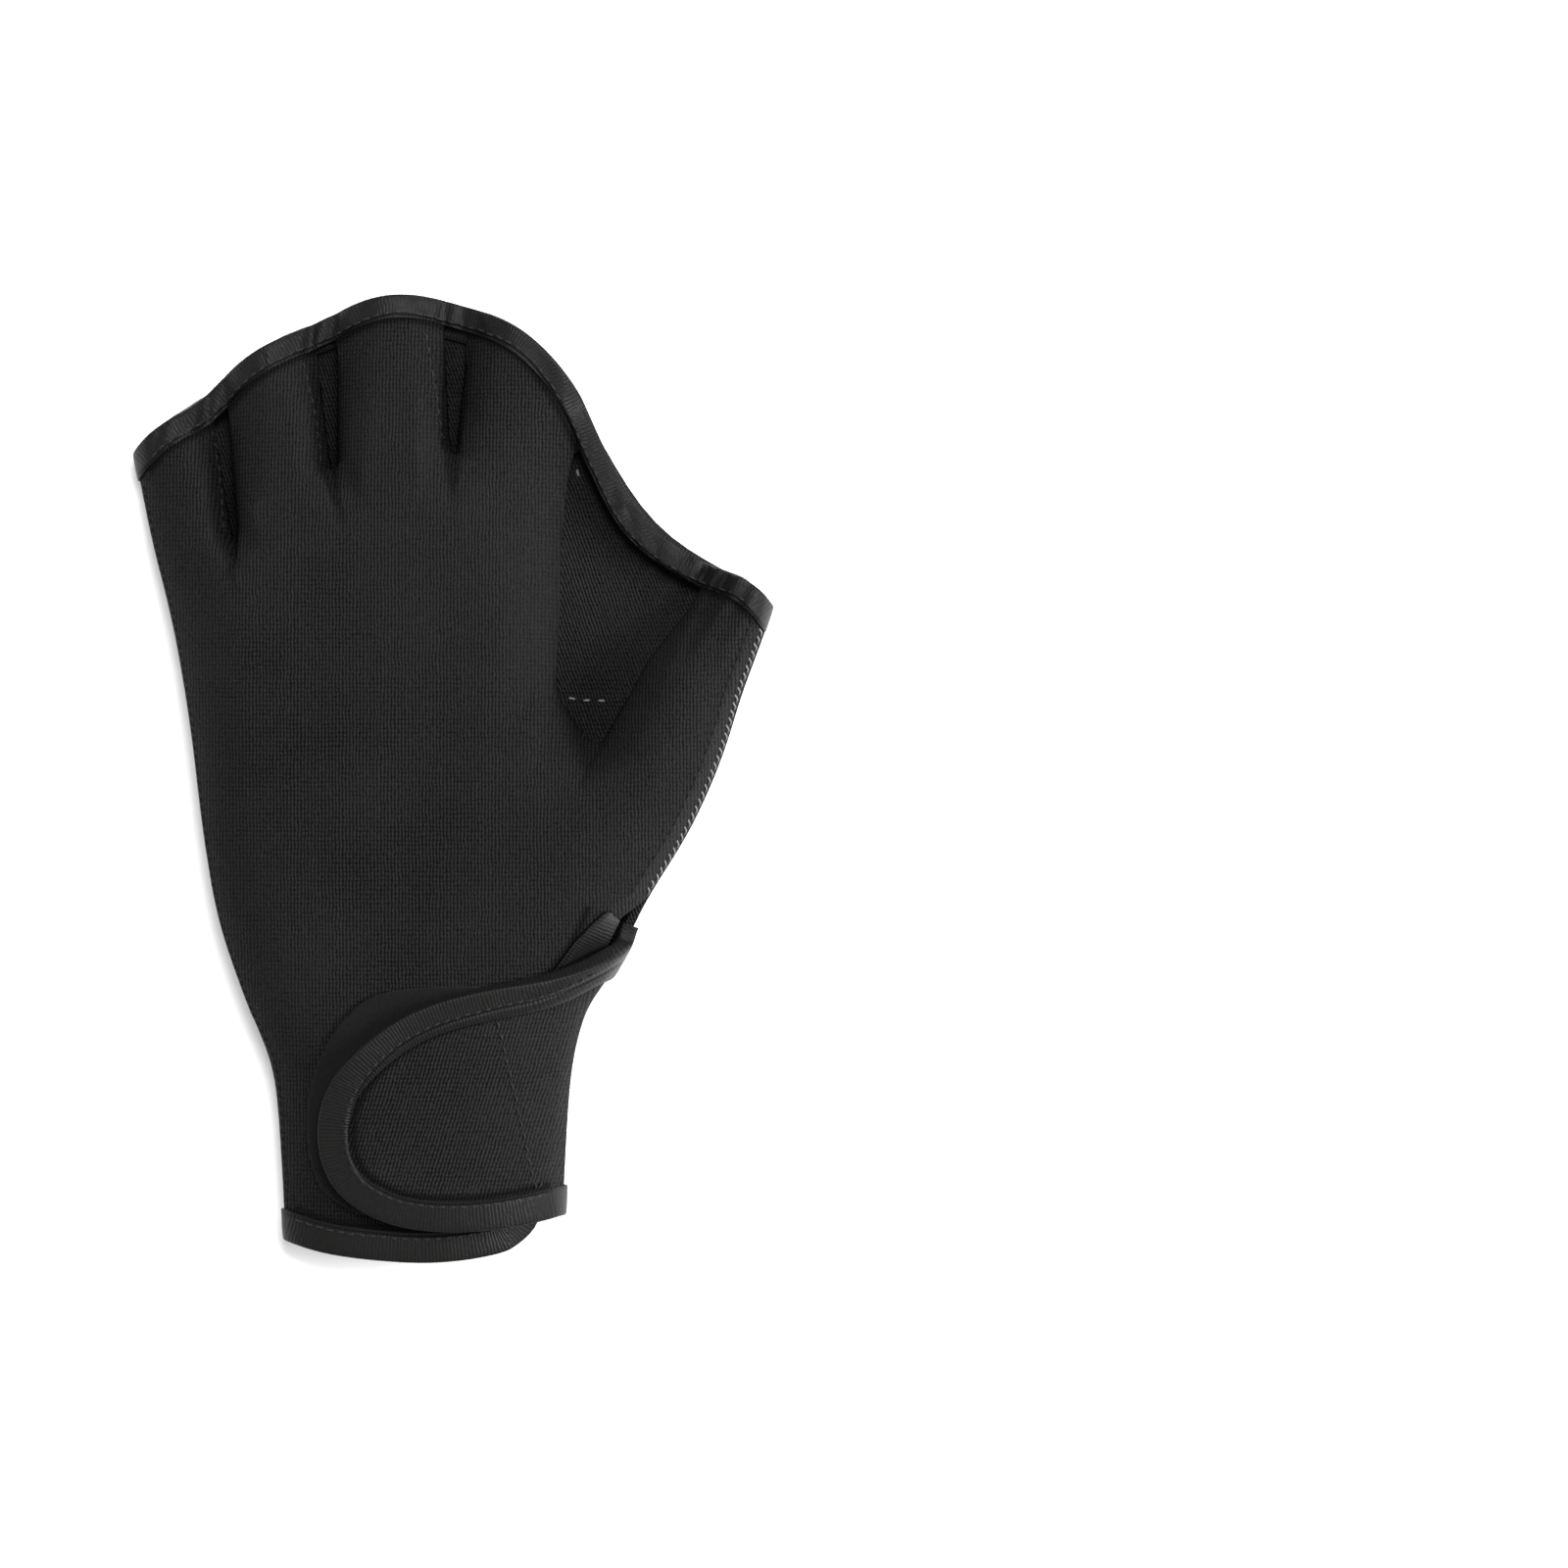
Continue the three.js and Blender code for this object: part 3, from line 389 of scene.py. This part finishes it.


# The knit of one panel, darker along the tapes sewn over it: painted shade in the crease at each tape's inner
# edge.
def jersey(name, look):
    material, tree, shader = startMaterial(name, jerseyLook)
    values = {label: look[label] for label in ("rib", "loop", "slant")}
    made = useGroup(tree, knit, values)
    middle = calc(tree, "SUBTRACT", made["tone"], jerseyLook["middle"])
    contrast = calc(tree, "MULTIPLY", middle, jerseyLook["contrast"])
    # Painted shade along each tape's inner edge: near the tape the knit's contrast falls, so its colour goes
    # towards black.
    beyond = calc(tree, "ABSOLUTE", pointValue(tree, "beyondTape"))
    clear = calc(tree, "MINIMUM", calc(tree, "MULTIPLY", beyond, jerseyLook["fade"]), 1.0)
    contrast = calc(tree, "MULTIPLY", contrast, calc(tree, "MAXIMUM", clear, jerseyLook["least"]))
    blendColour(tree, shader, contrast, black, look["light"])
    bumpFrom(tree, shader, made["height"], jerseyLook["bump"], 1.0)
    return material


tapeLook = {
    "roughness": 0.42, "sheen": 0.005, "bump": 0.00022, "strength": 0.7, "light": (0.0068, 0.007, 0.0066),
}


def tapeMaterial(name, groove):
    material, tree, shader = startMaterial(name, tapeLook)
    values = {"along": pointValue(tree, "along"), "depth": pointValue(tree, "depth"), "groove": groove}
    made = useGroup(tree, weave, values)
    bumpFrom(tree, shader, made["height"], tapeLook["bump"], tapeLook["strength"])
    blendColour(tree, shader, made["tone"], black, tapeLook["light"])
    return material


# Thread or pile: one colour that the grain halves.
def fibre(name, look):
    material, tree, shader = startMaterial(name, look)
    tone = useGroup(tree, grain, {"scale": look["scale"]})["tone"]
    dark = tuple(0.5 * value for value in look["light"])
    blendColour(tree, shader, tone, dark, look["light"])
    bumpFrom(tree, shader, tone, look["bump"], look["strength"])
    return material


def dress(obj, material):
    obj.data.materials.clear()
    obj.data.materials.append(material)


palmLook = {
    "node": "palm_panel", "levels": 2, "sharp": 50, "crease": 0.9, "tapes": ["fingerEdge", "hem"],
    "light": (0.0105, 0.0105, 0.0105), "rib": 0.00085, "loop": 0.0011, "slant": 0.0,
}
palm = softPiece("palm", palmLook)
dress(palm, jersey("palmJersey", palmLook))
addBeyond(palm, palmLook["tapes"])

backLook = {
    "node": "back_panel", "levels": 2, "sharp": 50, "crease": 0.9, "tapes": ["fingerEdge", "hem"],
    "light": (0.0135, 0.0135, 0.0135), "rib": 0.00085, "loop": 0.0011, "slant": 0.35,
}
back = softPiece("back", backLook)
dress(back, jersey("backJersey", backLook))
addBeyond(back, backLook["tapes"])

strapLook = {
    "node": "wrist_strap", "levels": 3, "sharp": 50, "crease": 0.9, "tapes": ["strapEdge"],
    "light": (0.0125, 0.0125, 0.0125), "rib": 0.0009, "loop": 0.0011, "slant": -0.3,
}
strap = softPiece("strap", strapLook)
dress(strap, jersey("strapJersey", strapLook))
addBeyond(strap, strapLook["tapes"])

patchLook = {
    "node": "loop_patch", "levels": 2, "sharp": 50, "crease": 0.9,
    "light": (0.006, 0.006, 0.006), "roughness": 0.95, "sheen": 0.03,
    "scale": 1400, "bump": 0.0003, "strength": 0.6,
}
patch = softPiece("patch", patchLook)
dress(patch, fibre("loopPile", patchLook))
print("cloth built")

fingerTapeLook = {
    "node": "finger_edge_binding", "levels": 2, "sharp": 60, "crease": 0.6,
    "follows": "fingerEdge", "groove": 0.0046,
}
cuffTapeLook = {
    "node": "cuff_binding", "levels": 2, "sharp": 60, "crease": 0.6, "follows": "hem", "groove": 0.006,
}
strapTapeLook = {
    "node": "strap_binding", "levels": 2, "sharp": 60, "crease": 0.6, "follows": "strapEdge", "groove": 0.006,
}


def tapePiece(name, look):
    obj = softPiece(name, look)
    addAlong(obj, outlines[look["follows"]])
    dress(obj, tapeMaterial(name + "Weave", look["groove"]))
    return obj


fingerTape = tapePiece("fingerTape", fingerTapeLook)
cuffTape = tapePiece("cuffTape", cuffTapeLook)
strapTape = tapePiece("strapTape", strapTapeLook)
print("tapes built")

stitchShape = {
    "rings": 6, "sides": 6,
    "rise": 2.2, "sunk": 0.9,  # how high its middle and how deep its ends go, in radii
    "wander": 0.06,  # how far each end strays to the side, as a share of half the pitch
}
rowSteps = 900  # points along a row of stitches
dropFrom = 0.1
trees = {}


def surfaceTree(obj):
    if obj.name not in trees:
        mesh = obj.data
        faces = [tuple(face.vertices) for face in mesh.polygons]
        trees[obj.name] = BVHTree.FromPolygons([vertex.co.copy() for vertex in mesh.vertices], faces)
    return trees[obj.name]


# Highest point of the given pieces under x, y, and its normal.
def dropOn(targets, x, y):
    best = None
    for obj in targets:
        hit, normal = surfaceTree(obj).ray_cast(Vector((x, y, dropFrom)), Vector((0, 0, -1)))[:2]
        if hit is not None and (best is None or hit.z > best[0].z):
            best = (hit, normal)
    return best


# One stitch: a thread that comes out of the cloth, lies on it and goes back in.
def stitch(vertices, faces, start, end, normal, radius):
    along = end - start
    side = along.cross(normal).normalized()
    rings = stitchShape["rings"]
    sides = stitchShape["sides"]
    base = len(vertices)
    for k in range(rings):
        share = k / (rings - 1)
        lift = stitchShape["rise"] * math.sin(math.pi * share) - stitchShape["sunk"]
        centre = start + along * share + normal * radius * lift
        for m in range(sides):
            turn = 2 * math.pi * m / sides
            vertices.append(centre + side * radius * math.cos(turn) + normal * radius * math.sin(turn))
    for k in range(rings - 1):
        low = base + sides * k
        for m in range(sides):
            n = (m + 1) % sides
            faces.append((low + m, low + n, low + sides + n, low + sides + m))
    last = base + sides * (rings - 1)
    faces.append(tuple(base + m for m in reversed(range(sides))))
    faces.append(tuple(last + m for m in range(sides)))


def addMesh(name, vertices, faces, material):
    mesh = bpy.data.meshes.new(name)
    mesh.from_pydata([tuple(v) for v in vertices], [], faces)
    mesh.shade_smooth()
    obj = bpy.data.objects.new(name, mesh)
    bpy.context.scene.collection.objects.link(obj)
    dress(obj, material)
    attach(obj, "root")


threadLook = {"sheen": 0.03, "scale": 1400, "bump": 0.0003, "strength": 0.6}
threads = {
    "dark": fibre("darkThread", {**threadLook, "light": (0.006, 0.006, 0.006), "roughness": 0.6}),
    "mid": fibre("midThread", {**threadLook, "light": (0.018, 0.018, 0.018), "roughness": 0.5}),
    "pale": fibre("paleThread", {**threadLook, "light": (0.16, 0.16, 0.155), "roughness": 0.5}),
}


# Stitches along a line in plan, laid on the highest of the pieces they are sewn to.
def stitchRow(name, look):
    vertices = []
    faces = []
    pitch = look["pitch"]
    twist = look.get("twist", 0.0)
    length = lengthsAlong(look["line"])[-1]
    dense = spaced(look["line"], rowSteps)
    count = max(1, int(length / pitch))
    for k in range(count):
        places = [(k + 0.5 + sign * look["filled"] / 2) / count for sign in (-1, 1)]
        first, second = [dense[int(u * (rowSteps - 1))] for u in places]
        direction = second - first
        size = np.linalg.norm(direction)
        if size < 1e-9:
            continue
        side = np.array([-direction[1], direction[0]]) / size
        ends = []
        for point, sign in ((first, -1), (second, 1)):
            stray = random.gauss(0, stitchShape["wander"]) * pitch / 2
            spot = point + side * (sign * twist + stray)
            hit = dropOn(look["on"], spot[0], spot[1])
            if hit:
                ends.append(hit)
        if len(ends) == 2 and (ends[0][0] - ends[1][0]).length < 3 * pitch:
            normal = (ends[0][1] + ends[1][1]).normalized()
            stitch(vertices, faces, ends[0][0], ends[1][0], normal, look["radius"])
    if faces:
        addMesh(name, vertices, faces, threads[look["thread"]])


# The stitches of each row: pitch, the share of it that shows as thread, thread radius, and for a
# seam that was whipped over its edge how far each stitch slants.
stitchRow("fingerStitches", {
    "line": beside(outlines["fingerEdge"], 0.0040)[6:-6], "on": [fingerTape],
    "pitch": 0.0026, "filled": 0.62, "radius": 0.00022, "thread": "mid",
})
stitchRow("cuffStitches", {
    "line": beside(outlines["hem"], -0.0052)[4:250], "on": [cuffTape],
    "pitch": 0.0026, "filled": 0.62, "radius": 0.00022, "thread": "mid",
})
stitchRow("strapStitches", {
    "line": beside(outlines["strapEdge"], 0.0053)[6:-30], "on": [strapTape],
    "pitch": 0.0026, "filled": 0.62, "radius": 0.00022, "thread": "mid",
})
stitchRow("strapLine", {
    "line": fromShares([[0.067, -0.233], [0.092, -0.31], [0.128, -0.424], [0.139, -0.412]]), "on": [strap],
    "pitch": 0.003, "filled": 0.6, "radius": 0.00025, "thread": "mid",
})
stitchRow("thumbSeamStitches", {
    "line": beside(outlines["thumbSeam"], -0.0011)[4:-16], "on": [palm],
    "pitch": 0.0019, "filled": 0.9, "radius": 0.00026, "thread": "pale", "twist": 0.00045,
})
stitchRow("thumbSeamInner", {
    "line": beside(outlines["thumbSeam"], -0.0042)[4:-16], "on": [palm],
    "pitch": 0.0024, "filled": 0.7, "radius": 0.00018, "thread": "dark",
})
stitchRow("littleSeamStitches", {
    "line": beside(outlines["leftSeam"], 0.0010)[8:-14], "on": [palm],
    "pitch": 0.0021, "filled": 0.8, "radius": 0.00024, "thread": "dark", "twist": 0.0003,
})
slitLines = {
    "littleRing": [[-0.368, 0.372], [-0.352, 0.31], [-0.344, 0.255]],
    "ringMiddle": [[-0.224, 0.43], [-0.203, 0.37], [-0.193, 0.323]],
    "middleIndex": [[-0.036, 0.46], [-0.02, 0.40], [-0.009, 0.345]],
}
slitShift = [0.0012, 0]
for key, rows in slitLines.items():
    stitchRow("slitStitches_" + key, {
        "line": fromShares(rows) - slitShift, "on": [palm, back],
        "pitch": 0.0028, "filled": 0.62, "radius": 0.00022, "thread": "mid",
    })
stitchRow("webStitches", {
    "line": fromShares([[0.168, 0.084], [0.197, 0.080], [0.236, 0.081]]), "on": [palm, back],
    "pitch": 0.0032, "filled": 0.45, "radius": 0.0003, "thread": "pale",
})
stitchRow("webTopStitches", {
    "line": fromShares([[0.186, 0.322], [0.190, 0.310]]), "on": [palm, back],
    "pitch": 0.0022, "filled": 0.6, "radius": 0.0003, "thread": "pale",
})
print("stitches sewn")

pileLook = {
    "count": 900, "quickCount": 300, "radius": 0.00007, "shortest": 0.0003, "longest": 0.0008,
    "low": [-0.225, -0.455], "high": [-0.03, -0.205],  # corners of the patch's field, in shares
    "steepest": 0.2,  # least upward part of the normal where a fibre grows
}


# Short slanted fibres on the fastening patch.
def pileFibres(look, count):
    vertices = []
    faces = []
    low = fromShares(look["low"])
    high = fromShares(look["high"])
    made = 0
    for attempt in range(count * 3):
        x = random.uniform(low[0], high[0])
        y = random.uniform(low[1], high[1])
        found = dropOn([patch], x, y)
        if found is None or found[1].z < look["steepest"]:
            continue
        hit, normal = found
        turn = random.uniform(0, 2 * math.pi)
        lean = Vector((math.cos(turn), math.sin(turn), 0)) * random.uniform(look["shortest"], look["longest"])
        stitch(vertices, faces, hit, hit + lean, normal, look["radius"])
        made += 1
        if made >= count:
            break
    addMesh("pileFibres", vertices, faces, threads["dark"])


pileFibres(pileLook, pileLook["count"])
print("patch pile grown")

studioLook = {
    "floorHalf": 3, "floorTone": 0.9, "floorRoughness": 0.9, "airTone": 0.7,
    "lamps": {
        "above": {"place": (0.25, 0.5, 1.4), "size": 0.6, "power": 26},
        "right": {"place": (1.1, 0.0, 0.7), "size": 0.5, "power": 30},
        "left": {"place": (-1.1, 0.1, 0.9), "size": 0.7, "power": 4},
    },
}


def lamp(name, look):
    data = bpy.data.lights.new(name, "AREA")
    data.size = look["size"]
    data.energy = look["power"]
    obj = bpy.data.objects.new(name, data)
    obj.location = look["place"]
    obj.rotation_euler = (Vector() - Vector(look["place"])).to_track_quat("-Z", "Y").to_euler()
    bpy.context.scene.collection.objects.link(obj)


def studio(look):
    half = look["floorHalf"]
    tone = look["floorTone"]
    corners = [(-half, -half, 0), (half, -half, 0), (half, half, 0), (-half, half, 0)]
    floorMesh = bpy.data.meshes.new("floor")
    floorMesh.from_pydata(corners, [], [(0, 1, 2, 3)])
    floor = bpy.data.objects.new("floor", floorMesh)
    bpy.context.scene.collection.objects.link(floor)
    material = bpy.data.materials.new("floorPaint")
    material.use_nodes = True
    shader = material.node_tree.nodes["Principled BSDF"]
    shader.inputs["Base Color"].default_value = (tone, tone, tone, 1)
    shader.inputs["Roughness"].default_value = look["floorRoughness"]
    dress(floor, material)
    for name, row in look["lamps"].items():
        lamp(name, row)
    world = bpy.data.worlds.new("air")
    world.use_nodes = True
    air = world.node_tree.nodes["Background"].inputs
    air["Color"].default_value = (1, 1, 1, 1)
    air["Strength"].default_value = look["airTone"]
    bpy.context.scene.world = world


studio(studioLook)
print("studio lit")

# Straight above, with the photograph's frame.
cameraLook = {
    "lens": 150, "sensor": 36, "over": (0.0818, -0.0015),
    "pixels": 1600, "pixel": 0.000242,  # the frame's width, and the size of a pixel at the cloth
    "clothHeight": 0.015,
}
cameraData = bpy.data.cameras.new("camera")
cameraData.lens = cameraLook["lens"]
cameraData.sensor_width = cameraLook["sensor"]
camera = bpy.data.objects.new("camera", cameraData)
frameWidth = cameraLook["pixels"] * cameraLook["pixel"]
distance = frameWidth * cameraLook["lens"] / cameraLook["sensor"]
camera.location = (*cameraLook["over"], distance + cameraLook["clothHeight"])
bpy.context.scene.collection.objects.link(camera)
bpy.context.scene.camera = camera
bpy.context.scene.view_settings.view_transform = "Standard"

print("scene ready")
